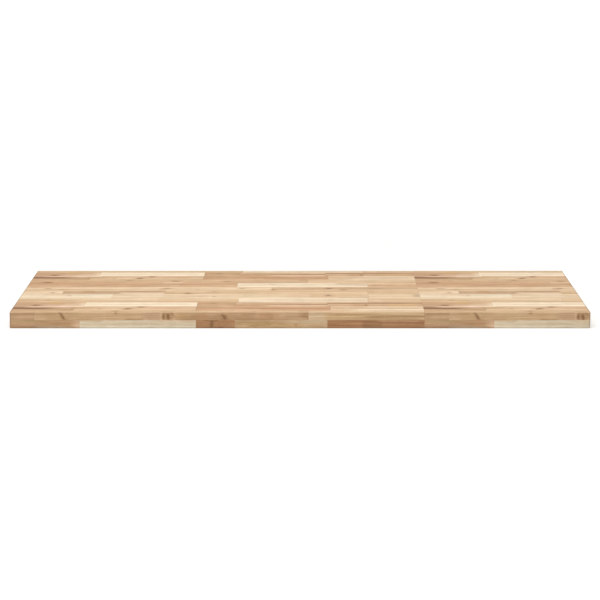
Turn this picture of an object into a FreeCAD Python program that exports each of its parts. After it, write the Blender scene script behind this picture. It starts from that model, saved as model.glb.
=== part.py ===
import FreeCAD, Part
import Sketcher
import math
import os

# Solid wood table top, glued up from staves in two layers.
# Frame: X along the length, Y from the front edge to the back, Z up.
# The origin is at the middle of the underside, and all sizes are in millimetres.


# Driving dimensions

# The width of a row is the pitch of the staves, and the front row of each layer is ripped narrower.
# The stave ends of the upper layer, and of the front row below it, repeat along the length.
# The rows behind that one can't be seen, and have staves of one plain length.
SIZES = {
    "length": 1400.0,
    "width": 600.0,
    "upper_layer": 20.0,
    "lower_layer": 20.0,
    "edge_radius": 1.5,
    "glue_line": 0.2,
    "stave_width": 55.0,
    "upper_front_row": 20.0,
    "lower_front_row": 50.0,
    "repeat_length": 1000.0,
    "plain_stave_length": 480.0,
}

# Stave ends, measured from the left end of the board, for the rows of the upper layer from the front.
# After the last of these rows the order starts again at the first.
UPPER_ROW_ENDS = [
    [59.0, 720.0],
    [150.0, 447.0, 774.0],
    [173.0, 448.0, 542.0, 767.0],
    [350.0, 548.0, 868.0],
    [230.0, 556.0, 872.0],
    [101.0, 360.0, 871.0],
    [628.0],
    [539.0, 874.0],
]

# Stave ends of the front row of the lower layer, which shows on the front edge.
LOWER_FRONT_ENDS = [168.0, 449.0, 543.0, 766.0]

# The plain rows step their ends by this share of a stave from row to row.
PLAIN_STEPS = 3


# The document and its sheet of sizes

doc = FreeCAD.newDocument("table_top")
sheet = doc.addObject("Spreadsheet::Sheet", "sizes")


def end_names(row_name, ends):
    """Names in the sheet for the stave ends of one row, such as upper_2_end_1."""
    return [f"{row_name}_end_{number}" for number in range(1, len(ends) + 1)]


named_sizes = dict(SIZES)
for row, ends in enumerate(UPPER_ROW_ENDS, start=1):
    named_sizes.update(zip(end_names(f"upper_{row}", ends), ends))
named_sizes.update(zip(end_names("lower_1", LOWER_FRONT_ENDS), LOWER_FRONT_ENDS))

for line, (name, value) in enumerate(named_sizes.items(), start=1):
    sheet.set(f"A{line}", name)
    sheet.set(f"B{line}", str(value))
    sheet.setAlias(f"B{line}", name)
doc.recompute()

THICKNESS = "(sizes.lower_layer + sizes.upper_layer)"


# The slab: the outline that the glued staves are planed and sanded to

def make_slab():
    """A plain slab with every edge eased, as one body."""
    body = doc.addObject("PartDesign::Body", "slab")
    outline = body.newObject("Sketcher::SketchObject", "outline")
    ground = next(item for item in body.Origin.OriginFeatures if item.Role == "XY_Plane")
    outline.AttachmentSupport = [(ground, "")]
    outline.MapMode = "FlatFace"

    x, y = SIZES["length"] / 2, SIZES["width"] / 2
    corners = [FreeCAD.Vector(*corner) for corner in ((-x, -y), (x, -y), (x, y), (-x, y))]
    lines = [Part.LineSegment(corners[side - 1], corners[side]) for side in range(4)]
    outline.addGeometry(lines, False)
    first, last, origin = 1, 2, -1
    for side in range(4):
        outline.addConstraint(Sketcher.Constraint("Coincident", side, last, (side + 1) % 4, first))
        direction = "Horizontal" if side % 2 else "Vertical"
        outline.addConstraint(Sketcher.Constraint(direction, side))
    outline.addConstraint(Sketcher.Constraint("Symmetric", 1, first, 3, first, origin, first))
    for name, direction, side, size in (
        ("length", "DistanceX", 1, SIZES["length"]),
        ("width", "DistanceY", 2, SIZES["width"]),
    ):
        number = outline.addConstraint(Sketcher.Constraint(direction, side, first, side, last, size))
        outline.renameConstraint(number, name)
        outline.setExpression(f"Constraints.{name}", f"sizes.{name}")

    pad = body.newObject("PartDesign::Pad", "thickness")
    pad.Profile = outline
    pad.setExpression("Length", THICKNESS)
    doc.recompute()

    eased = body.newObject("PartDesign::Fillet", "eased_edges")
    eased.Base = (pad, [f"Edge{number}" for number in range(1, len(pad.Shape.Edges) + 1)])
    eased.setExpression("Radius", "sizes.edge_radius")
    body.Tip = eased
    doc.recompute()
    return body


slab = make_slab()


# Boxes whose sides and place follow the sheet

def make_box(name, size, place):
    """A box with an expression for each side and for each coordinate of its low corner."""
    box = doc.addObject("Part::Box", name)
    for side, expression in zip(("Length", "Width", "Height"), size):
        box.setExpression(side, expression)
    for axis, expression in zip("xyz", place):
        box.setExpression(f"Placement.Base.{axis}", expression)
    return box


# Rows of staves

def rows_in_layer(front_row):
    """How many rows cover the width, the last of them cut to what is left."""
    return 1 + math.ceil(round((SIZES["width"] - front_row) / SIZES["stave_width"], 6))


def repeated_ends(names):
    """The place of each stave end in a row whose ends repeat along the length."""
    places = []
    for repeat in range(math.ceil(SIZES["length"] / SIZES["repeat_length"])):
        start = f"{repeat} * sizes.repeat_length"
        if repeat:
            places.append(start)
        places += [f"{start} + sizes.{name}" for name in names]
    return places


def plain_ends(row):
    """The place of each stave end in a hidden row, stepped from row to row."""
    step = row % PLAIN_STEPS or PLAIN_STEPS
    count = math.ceil(SIZES["length"] / SIZES["plain_stave_length"])
    return [f"({stave} + {step} / {PLAIN_STEPS}) * sizes.plain_stave_length" for stave in range(count)]


def make_row(name, layer, row, rows, ends):
    """One row of staves: the slab's slice, parted by a glue line at each stave end."""
    front_row = f"sizes.{layer}_front_row"
    near = f"{front_row} + {row - 2} * sizes.stave_width + sizes.glue_line / 2" if row > 1 else "0"
    far = f"{front_row} + {row - 1} * sizes.stave_width - sizes.glue_line / 2" if row < rows else "sizes.width"
    base = "0" if layer == "lower" else "sizes.lower_layer + sizes.glue_line / 2"
    slice_box = make_box(
        f"{name}_slice",
        ("sizes.length", f"{far} - ({near})", f"sizes.{layer}_layer - sizes.glue_line / 2"),
        ("-sizes.length / 2", f"-sizes.width / 2 + {near}", base),
    )
    strip = doc.addObject("Part::Common", f"{name}_strip")
    strip.Base = slab
    strip.Tool = slice_box

    # Each cutter is larger than the slab across and upwards, so that it parts the strip cleanly.
    cutters = [
        make_box(
            f"{name}_glue_{number}",
            ("sizes.glue_line", "2 * sizes.width", f"2 * {THICKNESS}"),
            (f"-sizes.length / 2 + {end} - sizes.glue_line / 2", "-sizes.width", f"-{THICKNESS} / 2"),
        )
        for number, end in enumerate(ends, start=1)
    ]
    glue = doc.addObject("Part::MultiFuse", f"{name}_glue")
    glue.Shapes = cutters

    staves = doc.addObject("Part::Cut", name)
    staves.Label = name
    staves.Base = strip
    staves.Tool = glue
    return staves


parts = []

upper_rows = rows_in_layer(SIZES["upper_front_row"])
for row in range(1, upper_rows + 1):
    pattern = (row - 1) % len(UPPER_ROW_ENDS)
    ends = repeated_ends(end_names(f"upper_{pattern + 1}", UPPER_ROW_ENDS[pattern]))
    parts.append(make_row(f"upper_row_{row:02d}", "upper", row, upper_rows, ends))

lower_rows = rows_in_layer(SIZES["lower_front_row"])
for row in range(1, lower_rows + 1):
    ends = repeated_ends(end_names("lower_1", LOWER_FRONT_ENDS)) if row == 1 else plain_ends(row)
    parts.append(make_row(f"lower_row_{row:02d}", "lower", row, lower_rows, ends))

doc.recompute()


# Check the model, then write one file for each row

for item in doc.Objects:
    if "Invalid" in item.State or "Error" in item.State:
        raise RuntimeError(f"{item.Name} did not build: {item.State}")

os.makedirs("parts", exist_ok=True)
for part in parts:
    if part.Shape.isNull() or not part.Shape.isValid():
        raise RuntimeError(f"{part.Label} has no valid shape")
for part in parts:
    part.Shape.exportStep(f"parts/{part.Label}.step")
    box = part.Shape.BoundBox
    print(f"{part.Label}: {len(part.Shape.Solids)} staves, {box.YMin:.1f} to {box.YMax:.1f} mm across")
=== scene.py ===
# %% [markdown]
# # A table top of edge-glued staves
#
# This lesson dresses a solid wood table top. The board is glued up from short staves, laid in rows
# and in two layers, then planed, sanded and left bare. All its character is in the wood: pale sapwood
# beside rosy heartwood, small knots, and a dark line here and there. So most of the work goes into
# wood materials that treat every stave as a piece cut from a different plank.

# %% [markdown]
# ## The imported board
#
# The construction is already fixed. Each row of staves is one node, and this script reads every size
# from those nodes, so a stave here lies exactly where the real one is glued.

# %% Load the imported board
import math

import bpy
from mathutils import Matrix, Vector


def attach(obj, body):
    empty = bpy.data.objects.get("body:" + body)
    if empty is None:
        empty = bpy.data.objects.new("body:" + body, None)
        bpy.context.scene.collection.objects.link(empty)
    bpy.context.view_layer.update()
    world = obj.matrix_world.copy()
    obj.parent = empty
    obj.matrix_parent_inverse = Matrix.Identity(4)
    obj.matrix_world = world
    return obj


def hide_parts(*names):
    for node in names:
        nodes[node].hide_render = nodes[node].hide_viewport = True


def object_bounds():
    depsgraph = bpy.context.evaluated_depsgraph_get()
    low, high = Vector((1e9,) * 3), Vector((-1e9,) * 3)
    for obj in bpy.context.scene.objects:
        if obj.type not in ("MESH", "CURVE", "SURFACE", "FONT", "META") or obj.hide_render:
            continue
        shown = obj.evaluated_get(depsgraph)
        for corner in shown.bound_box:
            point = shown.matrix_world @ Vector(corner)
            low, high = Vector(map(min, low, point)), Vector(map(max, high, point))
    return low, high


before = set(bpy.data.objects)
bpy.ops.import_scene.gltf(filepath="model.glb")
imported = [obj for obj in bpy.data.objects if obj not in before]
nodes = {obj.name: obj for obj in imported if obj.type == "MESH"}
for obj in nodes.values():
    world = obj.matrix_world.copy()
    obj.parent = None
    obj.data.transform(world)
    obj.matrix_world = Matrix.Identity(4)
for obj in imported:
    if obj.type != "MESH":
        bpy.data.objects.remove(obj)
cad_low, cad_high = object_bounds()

BODY = "root"
MM = 0.001
upper_rows = sorted(name for name in nodes if name.startswith("upper_row"))
lower_rows = sorted(name for name in nodes if name.startswith("lower_row"))
board_size = cad_high - cad_low
print("board", [round(side / MM) for side in board_size], "mm,", len(upper_rows), "upper rows,",
      len(lower_rows), "lower rows")


# %% [markdown]
# ## The camera
#
# The board is seen from the front and a little above, through a long lens, so its side edges lean in
# only slightly. The camera stands on the middle line of the board and is tilted down. A tilt, not a
# shifted lens, keeps the object in the middle when other views are made later.

# %% The camera
FOCAL_LENGTH = 135.94
SENSOR_WIDTH = 36.0
CAMERA_PLACE = (0.0, -5.6657, 1.0449)
CAMERA_TILT = 10.303


def make_camera():
    """The camera in front of the board, tilted down by a few degrees."""
    data = bpy.data.cameras.new("camera")
    data.lens = FOCAL_LENGTH
    data.sensor_width = SENSOR_WIDTH
    camera = bpy.data.objects.new("camera", data)
    camera.location = CAMERA_PLACE
    camera.rotation_euler = (math.radians(90 - CAMERA_TILT), 0, 0)
    bpy.context.scene.collection.objects.link(camera)
    bpy.context.scene.camera = camera
    return camera


camera = make_camera()
print("camera", round(camera.data.lens, 1), "mm lens, tilted", CAMERA_TILT, "degrees")


# %% [markdown]
# ## Small helpers for the node trees
#
# A wood material is a long chain of small sums, which could be built by hand in the shader editor.
# Most of these helpers add one node and take either a number or the output of another node for each
# input, so that a chain reads like arithmetic. Where a place is multiplied before a noise, the three
# factors say how often the noise changes in a metre: along the board, across it and upwards.

# %% Helpers for numbers and vectors
def put(tree, socket, value):
    """Link an output to a socket, or write a plain value into it."""
    if isinstance(value, bpy.types.NodeSocket):
        tree.links.new(value, socket)
    else:
        socket.default_value = value


def sums(tree, operation, *values):
    """A Math node."""
    node = tree.nodes.new("ShaderNodeMath")
    node.operation = operation
    for socket, value in zip(node.inputs, values):
        put(tree, socket, value)
    return node.outputs[0]


def vectors(tree, operation, *values):
    """A Vector Math node. Length and dot product give a number, the others a vector."""
    node = tree.nodes.new("ShaderNodeVectorMath")
    node.operation = operation
    for socket, value in zip(node.inputs, values):
        put(tree, socket, value)
    number = operation in ("LENGTH", "DOT_PRODUCT", "DISTANCE")
    return node.outputs["Value" if number else "Vector"]


def ramp(tree, value, low, high, start=0.0, end=1.0):
    """A soft step from start to end while the value goes from low to high."""
    node = tree.nodes.new("ShaderNodeMapRange")
    node.interpolation_type = "SMOOTHSTEP"
    for name, setting in (("Value", value), ("From Min", low), ("From Max", high),
                          ("To Min", start), ("To Max", end)):
        put(tree, node.inputs[name], setting)
    return node.outputs["Result"]


def swing(tree, value, width):
    """Turn a number from 0 to 1 into one that swings by half the width to either side of nought."""
    return sums(tree, "MULTIPLY_ADD", value, width, -width / 2)


print("helpers for sums, vectors, soft steps and swings")


# %% Helpers for noise, colours and coordinates
def noise(tree, vector, w=0.0, detail=2.0, roughness=0.5):
    """Four-dimensional noise from 0 to 1: the fourth number picks another piece of wood."""
    node = tree.nodes.new("ShaderNodeTexNoise")
    node.noise_dimensions = "4D"
    for name, setting in (("Vector", vector), ("W", w), ("Scale", 1.0), ("Detail", detail),
                          ("Roughness", roughness)):
        put(tree, node.inputs[name], setting)
    return node.outputs["Fac"]


def blend(tree, factor, first, second, how="MIX"):
    """Mix two colours."""
    node = tree.nodes.new("ShaderNodeMix")
    node.data_type = "RGBA"
    node.blend_type = how
    put(tree, node.inputs["Factor"], factor)
    put(tree, node.inputs[6], first)
    put(tree, node.inputs[7], second)
    return node.outputs[2]


def apart(tree, vector):
    """The X, Y and Z of a vector."""
    node = tree.nodes.new("ShaderNodeSeparateXYZ")
    put(tree, node.inputs[0], vector)
    return node.outputs[0], node.outputs[1], node.outputs[2]


def together(tree, x, y, z):
    """A vector from three numbers."""
    node = tree.nodes.new("ShaderNodeCombineXYZ")
    for socket, value in zip(node.inputs, (x, y, z)):
        put(tree, socket, value)
    return node.outputs[0]


def attribute(tree, name, output):
    """A value that each stave carries in its mesh."""
    node = tree.nodes.new("ShaderNodeAttribute")
    node.attribute_name = name
    return node.outputs[output]


print("helpers for noise, colours and coordinates")


# %% Helpers for node groups
def new_group(name, inputs, outputs):
    """An empty node group with its named sockets; returns the group, its inputs and its outputs."""
    group = bpy.data.node_groups.new(name, "ShaderNodeTree")
    kinds = {"number": "NodeSocketFloat", "vector": "NodeSocketVector", "colour": "NodeSocketColor"}
    for socket, kind in inputs:
        group.interface.new_socket(socket, in_out="INPUT", socket_type=kinds[kind])
    for socket, kind in outputs:
        group.interface.new_socket(socket, in_out="OUTPUT", socket_type=kinds[kind])
    entry = group.nodes.new("NodeGroupInput")
    leave = group.nodes.new("NodeGroupOutput")
    return group, entry.outputs, leave.inputs


def use(tree, group, **inputs):
    """Place a group in a tree and set or link its inputs; returns its outputs."""
    node = tree.nodes.new("ShaderNodeGroup")
    node.node_tree = group
    for name, value in inputs.items():
        put(tree, node.inputs[name.replace("_", " ").capitalize()], value)
    return node.outputs


print("helpers for node groups")


# %% [markdown]
# ## The growth rings
#
# Every stave was sawn from some part of a trunk, and the rings run round a centre that lies a few
# centimetres outside it. The group puts that centre at a random place for each stave and measures
# how far each point of the wood is from it. Seen on the faces this gives stripes and pointed
# arches, and on the ends it gives arcs, all from the same sum. The number of a stave, times a
# different factor for each noise, picks another piece of that noise.

# %% The growth rings
RING_WIDTH = 5.5 * MM
CENTRE_SPREAD = 160 * MM
CENTRE_BELOW = 14 * MM
CENTRE_DEEPER = 80 * MM
RING_DRIFT = 36 * MM
RING_FLUTTER = 5 * MM
RING_SLOPE = 0.06
LATEWOOD_STARTS = 0.30
LATEWOOD_PEAK = 0.92
TONE_BY_RING = 0.45
TONE_ALONG = 1.2


def make_rings():
    """Latewood lines and the slower change of tone from ring to ring."""
    tree, given, result = new_group(
        "growth rings",
        [("Stave", "vector"), ("Seed", "number"), ("Bend", "number")],
        [("Latewood", "number"), ("Tone", "number")],
    )
    stave, seed = given["Stave"], given["Seed"]

    dice = tree.nodes.new("ShaderNodeTexWhiteNoise")
    dice.noise_dimensions = "1D"
    put(tree, dice.inputs["W"], sums(tree, "MULTIPLY", seed, 97.0))
    side, depth, slope = apart(tree, dice.outputs["Color"])

    slow_place = vectors(tree, "MULTIPLY", stave, (2.6, 14.0, 14.0))
    drift = swing(tree, noise(tree, slow_place, sums(tree, "MULTIPLY", seed, 31.0), 2.0), RING_DRIFT)
    quick_place = vectors(tree, "MULTIPLY", stave, (14.0, 90.0, 90.0))
    quick = noise(tree, quick_place, sums(tree, "MULTIPLY", seed, 57.0), 2.0)
    flutter = sums(tree, "MULTIPLY", quick, RING_FLUTTER)

    x, y, z = apart(tree, stave)
    centre_y = swing(tree, side, CENTRE_SPREAD)
    centre_z = sums(tree, "MULTIPLY_ADD", depth, -CENTRE_DEEPER, -CENTRE_BELOW)
    bent_y = sums(tree, "ADD", sums(tree, "SUBTRACT", y, centre_y), given["Bend"])
    away_y = sums(tree, "ADD", bent_y, drift)
    away_z = sums(tree, "SUBTRACT", z, centre_z)
    radius = vectors(tree, "LENGTH", together(tree, 0.0, away_y, away_z))
    lean = sums(tree, "MULTIPLY", x, swing(tree, slope, RING_SLOPE))
    grown = sums(tree, "ADD", sums(tree, "ADD", radius, flutter), lean)
    phase = sums(tree, "DIVIDE", grown, RING_WIDTH)

    part = sums(tree, "FRACT", phase)
    rise = ramp(tree, part, LATEWOOD_STARTS, LATEWOOD_PEAK)
    fall = ramp(tree, part, LATEWOOD_PEAK, 1.0, 1.0, 0.0)
    put(tree, result["Latewood"], sums(tree, "MULTIPLY", rise, fall))
    ring_by_ring, along = sums(tree, "MULTIPLY", phase, TONE_BY_RING), sums(tree, "MULTIPLY", x, TONE_ALONG)
    slow = together(tree, ring_by_ring, 0.0, along)
    put(tree, result["Tone"], noise(tree, slow, sums(tree, "MULTIPLY", seed, 13.0), 2.0, 0.6))
    return tree


rings_group = make_rings()
print("rings", round(RING_WIDTH / MM, 1), "mm apart, from", len(rings_group.nodes), "nodes")

# %% [markdown]
# ## Fibres and pores
#
# Between the rings lies the finer figure: long fibres that catch the plane, and pores that show as
# short dark dashes along the grain. All are noise that is squeezed across the grain, so on an end
# face the same noise shows as dots. A slow ripple across the board is the last of them.

# %% The fibres and pores
PORE_FROM = (0.66, 0.78)


def make_fibres():
    """Streaks of three widths along the grain, the pores, and a slow ripple."""
    tree, given, result = new_group(
        "fibres",
        [("Stave", "vector"), ("Seed", "number"), ("Bend", "number")],
        [("Broad", "number"), ("Middling", "number"), ("Fine", "number"), ("Pores", "number"),
         ("Ripple", "number")],
    )
    w = sums(tree, "MULTIPLY", given["Seed"], 71.0)
    bent = vectors(tree, "ADD", given["Stave"], together(tree, 0.0, given["Bend"], 0.0))
    for name, scale, detail in (
        ("Broad", (2.4, 75.0, 75.0), 3.0),
        ("Middling", (8.0, 280.0, 280.0), 2.0),
        ("Fine", (34.0, 1100.0, 1100.0), 2.0),
        ("Ripple", (26.0, 16.0, 16.0), 1.0),
    ):
        put(tree, result[name], noise(tree, vectors(tree, "MULTIPLY", bent, scale), w, detail, 0.55))
    dashes = vectors(tree, "MULTIPLY", bent, (190.0, 2300.0, 2300.0))
    put(tree, result["Pores"], ramp(tree, noise(tree, dashes, w, 0.0), *PORE_FROM))
    return tree


fibres_group = make_fibres()
print("fibres from", len(fibres_group.nodes), "nodes")

# %% [markdown]
# ## Knots and streaks
#
# A few marks give the board its face. They are placed one by one, measured from the left end and
# from the front edge. The staves are laid in a repeating order, one metre along and eight rows
# across, so each mark comes back with its stave: wrapping the distance to the mark does that in one
# node. The marks come back a few millimetres nearer the front side of their stave. Both groups take a
# place whose third number is the depth under the face, and fade out below it.

# %% Where a mark is
REPEAT = (1000 * MM, 436 * MM)
MARK_DEPTH = (12 * MM, 19 * MM)


def distance_to(tree, place, middle):
    """The way from the nearest repeat of a mark's middle; a depth is under a metre and isn't wrapped."""
    half = (REPEAT[0] / 2, REPEAT[1] / 2, 1.0)
    back = (-REPEAT[0] / 2, -REPEAT[1] / 2, -1.0)
    return vectors(tree, "WRAP", vectors(tree, "SUBTRACT", place, middle), half, back)


def fade_below(tree, depth, strength):
    """The strength of a mark, fading out under the face."""
    return sums(tree, "MULTIPLY", ramp(tree, depth, *MARK_DEPTH, 1.0, 0.0), strength)


print("marks come back after", [round(side / MM) for side in REPEAT], "mm")


# %% The knot
KNOT_RINGS = 19.0
KNOT_RING_DEPTH = 0.13
CORE_FADES = (0.4, 1.1)
HALO_FADES = (0.5, 2.4)
SWING_FADES = (0.2, 1.8)
SWING_ALONG = 0.4
SWING_ACROSS = 0.6
GRAIN_SWING = 0.75


def make_knot():
    """A knot: a dark core, a warm halo, and the grain that swings round it."""
    tree, given, result = new_group(
        "knot",
        [("Place", "vector"), ("Ragged", "number"), ("Middle", "vector"), ("Half length", "number"),
         ("Half width", "number"), ("Lean", "number"), ("Strength", "number")],
        [("Core", "number"), ("Halo", "number"), ("Bend", "number")],
    )
    x, y, depth = apart(tree, distance_to(tree, given["Place"], given["Middle"]))
    x = sums(tree, "SUBTRACT", x, sums(tree, "MULTIPLY", y, given["Lean"]))
    along = sums(tree, "DIVIDE", x, given["Half length"])
    across = sums(tree, "DIVIDE", y, given["Half width"])
    round_away = vectors(tree, "LENGTH", together(tree, along, across, 0.0))
    away = sums(tree, "ADD", round_away, given["Ragged"])
    below = fade_below(tree, depth, given["Strength"])
    wave = sums(tree, "SINE", sums(tree, "MULTIPLY", away, KNOT_RINGS))
    rings = sums(tree, "MULTIPLY_ADD", wave, KNOT_RING_DEPTH, 1.0 - KNOT_RING_DEPTH)
    ringed = sums(tree, "MULTIPLY", rings, below)
    put(tree, result["Core"], sums(tree, "MULTIPLY", ramp(tree, away, *CORE_FADES, 1.0, 0.0), ringed))
    put(tree, result["Halo"], sums(tree, "MULTIPLY", ramp(tree, away, *HALO_FADES, 1.0, 0.0), ringed))
    stretched = vectors(tree, "LENGTH", together(tree, sums(tree, "MULTIPLY", along, SWING_ALONG),
                                                 sums(tree, "MULTIPLY", across, SWING_ACROSS), 0.0))
    near = sums(tree, "MULTIPLY", ramp(tree, stretched, *SWING_FADES, 1.0, 0.0), given["Strength"])
    put(tree, result["Bend"], sums(tree, "MULTIPLY", sums(tree, "MULTIPLY", y, near), -GRAIN_SWING))
    return tree


knot_group = make_knot()
print("a knot from", len(knot_group.nodes), "nodes")


# %% The streak
STREAK_TIP = 0.4
STREAK_FADES = (0.4, 1.45)


def make_streak():
    """A streak along the grain, which tapers to its left end and to its right."""
    tree, given, result = new_group(
        "streak",
        [("Place", "vector"), ("Middle", "vector"), ("Half length", "number"),
         ("Half width", "number"), ("Left taper", "number"), ("Right taper", "number"),
         ("Strength", "number"), ("Slope", "number")],
        [("Mask", "number")],
    )
    x, y, depth = apart(tree, distance_to(tree, given["Place"], given["Middle"]))
    y = sums(tree, "SUBTRACT", y, sums(tree, "MULTIPLY", x, given["Slope"]))
    left = ramp(tree, sums(tree, "ADD", given["Half length"], x), 0.0, given["Left taper"])
    right = ramp(tree, sums(tree, "SUBTRACT", given["Half length"], x), 0.0, given["Right taper"])
    taper = sums(tree, "MULTIPLY", left, right)
    share = sums(tree, "MULTIPLY_ADD", taper, 1.0 - STREAK_TIP, STREAK_TIP)
    width = sums(tree, "MULTIPLY", given["Half width"], share)
    away = sums(tree, "DIVIDE", sums(tree, "ABSOLUTE", y), width)
    body = ramp(tree, away, *STREAK_FADES, 1.0, 0.0)
    below = fade_below(tree, depth, given["Strength"])
    put(tree, result["Mask"], sums(tree, "MULTIPLY", sums(tree, "MULTIPLY", body, taper), below))
    return tree


streak_group = make_streak()
print("a streak from", len(streak_group.nodes), "nodes")

# %% [markdown]
# ## Worn and shaded edges
#
# The lower arrises and the corners of a bare board pick up a little dirt where it is gripped and set
# down, and here they are darkened further as painted shade, as in the board's own shadow where it
# meets the floor. The distance to such an edge is the middle one of the distances to the sides along X
# and Y and to the underside, because on a face the least of the three is nought. A narrow rim along
# both short ends is darkened too, partly as dirt in the open end grain and partly as painted shade. A
# band along the back of the top is painted a little grey, as painted shade. Just under the upper front
# arris, the front edge is painted lighter, as a painted highlight.

# %% Edges of wear and shade
# Edges darkened partly by wear and partly as painted shade, as in the board's own shadow.
WORN_AND_SHADED_FROM = 0.5 * MM
WORN_AND_SHADED_REACH = 1.6 * MM
PATCH_REACH = 5.0 * MM
END_RIM = 1.0 * MM
END_SHARE = 0.8
# A painted highlight just under the upper arris of the front edge.
HIGHLIGHT_ARRIS = (0.9 * MM, 1.7 * MM)
# A painted grey shade in a band along the back of the top.
BACK_SHADE_BAND = (5 * MM, 12 * MM)
BACK_SHADE_DEPTH = (1 * MM, 4 * MM)


def make_edges():
    """Masks for edges darkened by wear and painted shade, a painted highlight on the front arris and
    painted shade along the back, broken up by noise.
    """
    tree, given, result = new_group(
        "edges of wear and shade", [("Place", "vector")],
        [("Mask", "number"), ("Painted highlight", "number"), ("Painted back shade", "number")],
    )
    # The top is counted as a metre up, so that along Z only the underside is near.
    far = vectors(tree, "SUBTRACT", (board_size.x, board_size.y, 1.0), given["Place"])
    x, y, z = apart(tree, vectors(tree, "MINIMUM", given["Place"], far))
    least, most = sums(tree, "MINIMUM", x, y), sums(tree, "MAXIMUM", x, y)
    middle = sums(tree, "MAXIMUM", least, sums(tree, "MINIMUM", most, z))
    patchy = noise(tree, vectors(tree, "MULTIPLY", given["Place"], (30.0, 30.0, 30.0)), 2.0, 2.0)
    reach = sums(tree, "MULTIPLY_ADD", patchy, PATCH_REACH, WORN_AND_SHADED_REACH)
    # Darker near the lower arrises and corners: partly wear, partly painted shade.
    handled_and_shaded = ramp(tree, middle, WORN_AND_SHADED_FROM, reach, 1.0, 0.0)
    rim = ramp(tree, x, END_RIM, sums(tree, "ADD", reach, END_RIM), 1.0, 0.0)
    put(tree, result["Mask"], sums(tree, "MAXIMUM", handled_and_shaded, sums(tree, "MULTIPLY", rim, END_SHARE)))
    _, front, height = apart(tree, given["Place"])
    down = sums(tree, "SUBTRACT", board_size.z, height)
    arris = sums(tree, "MAXIMUM", front, down)
    # A painted highlight just under the upper front arris.
    put(tree, result["Painted highlight"], ramp(tree, arris, *HIGHLIGHT_ARRIS, 1.0, 0.0))
    # A painted grey shade along the back of the top, fading out below the face.
    back = sums(tree, "SUBTRACT", board_size.y, front)
    shade_band_from, shade_band_width = BACK_SHADE_BAND
    shade_band_to = sums(tree, "MULTIPLY_ADD", patchy, shade_band_width, shade_band_width)
    back_shaded = ramp(tree, back, shade_band_from, shade_band_to, 1.0, 0.0)
    put(tree, result["Painted back shade"], sums(tree, "MULTIPLY", back_shaded, ramp(tree, down, *BACK_SHADE_DEPTH, 1.0, 0.0)))
    return tree


edges_group = make_edges()
print("edges of wear and shade from", len(edges_group.nodes), "nodes")

# %% [markdown]
# ## Wood tones
#
# The board mixes sapwood that is almost cream with heartwood from honey to chestnut. These tones are
# given one by one. Every stave names two of them: one for its front side and one for its back side,
# because many staves are sawn across the border between sapwood and heartwood.

# %% The wood tones
def tone(red, green, blue):
    """A colour given as it is seen on a screen, from 0 to 255, turned into linear light."""
    linear = [((level / 255 + 0.055) / 1.055) ** 2.4 for level in (red, green, blue)]
    return (*linear, 1.0)


TONES = {
    "cream": tone(247, 226, 197),
    "pear": tone(249, 235, 209),
    "ivory": tone(242, 222, 190),
    "barley": tone(241, 216, 183),
    "straw": tone(237, 210, 175),
    "wheat": tone(231, 201, 165),
    "honey": tone(226, 194, 156),
    "sand": tone(219, 188, 153),
    "biscuit": tone(222, 183, 145),
    "tan": tone(214, 179, 143),
    "rosy": tone(211, 173, 141),
    "cocoa": tone(211, 171, 134),
    "russet": tone(203, 160, 123),
    "umber": tone(187, 149, 112),
    "chestnut": tone(191, 144, 105),
    "blush": tone(236, 202, 170),
    "ochre": tone(219, 182, 129),
    "olive": tone(199, 170, 129),
    "grey": tone(204, 180, 149),
    "bark": tone(138, 102, 72),
}
# The grey of the painted shade along the back of the top.
BACK_SHADE_TONE = tone(188, 178, 164)
KNOT_CORE = tone(116, 80, 50)
KNOT_HALO = tone(176, 136, 98)
print(len(TONES), "wood tones, the palest", max(TONES, key=lambda name: sum(TONES[name])))

# %% [markdown]
# ## The eight rows of the upper layer
#
# A row is a list of staves from the left, then its streaks, then its knots. A stave is (front tone,
# back tone, how far across the tone turns, from -0.5 at its front side to 0.5 at its back side). A
# streak is (tone, from, to, distance from the front edge, half width, left taper, right taper,
# strength), with a slope at the end where it runs aslant. A knot is (from the left, distance from the
# front edge, half length, half width, lean, strength). All lengths are in millimetres. The marks
# could be left to chance, but then this would be another board. Listed one by one, they lie where the
# real ones do.

# %% The first row
def count_marks(name, row):
    """Print how many marks a row has."""
    _, streaks, knots = row
    print(name, "has", len(streaks), "streaks and", len(knots), "knots")


ROW_1 = (
    [("cocoa", "tan", 0.0), ("biscuit", "honey", 0.0), ("honey", "straw", 0.0)],
    [
        ("grey", 520, 720, 412, 8, 16, 2, 1.0),
        ("umber", 520, 590, 416, 6, 20, 20, 0.4),
        ("umber", 452, 506, 417, 6, 16, 16, 0.4),
        ("rosy", 400, 460, 425, 18, 10, 20, 0.4),
        ("cocoa", 444, 625, 423, 14, 16, 24, 0.8),
        ("grey", 630, 692, 416, 7, 12, 12, 0.6),
        ("straw", 338, 402, 409, 8, 16, 10, 0.9),
        ("wheat", 192, 275, 441, 12, 20, 20, 0.5),
        ("cocoa", -1, 112, 443, 8, 1, 26, 0.8),
        ("umber", 354, 404, 442, 7, 12, 12, 0.4),
        ("cocoa", 508, 632, 442, 8, 16, 20, 0.5),
        ("umber", 688, 722, 446, 14, 14, 1, 0.4),
        ("biscuit", 718, 832, 444, 8, 1, 40, 0.7),
    ],
    [
        (46, 412, 15, 9, 0, 0.9),
        (256, 450, 8, 8, 0, 0.5),
        (377, 433, 12, 6, 0, 0.7),
        (512, 432, 14, 7, 0, 0.5),
    ],
)
count_marks("row 1", ROW_1)

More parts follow.
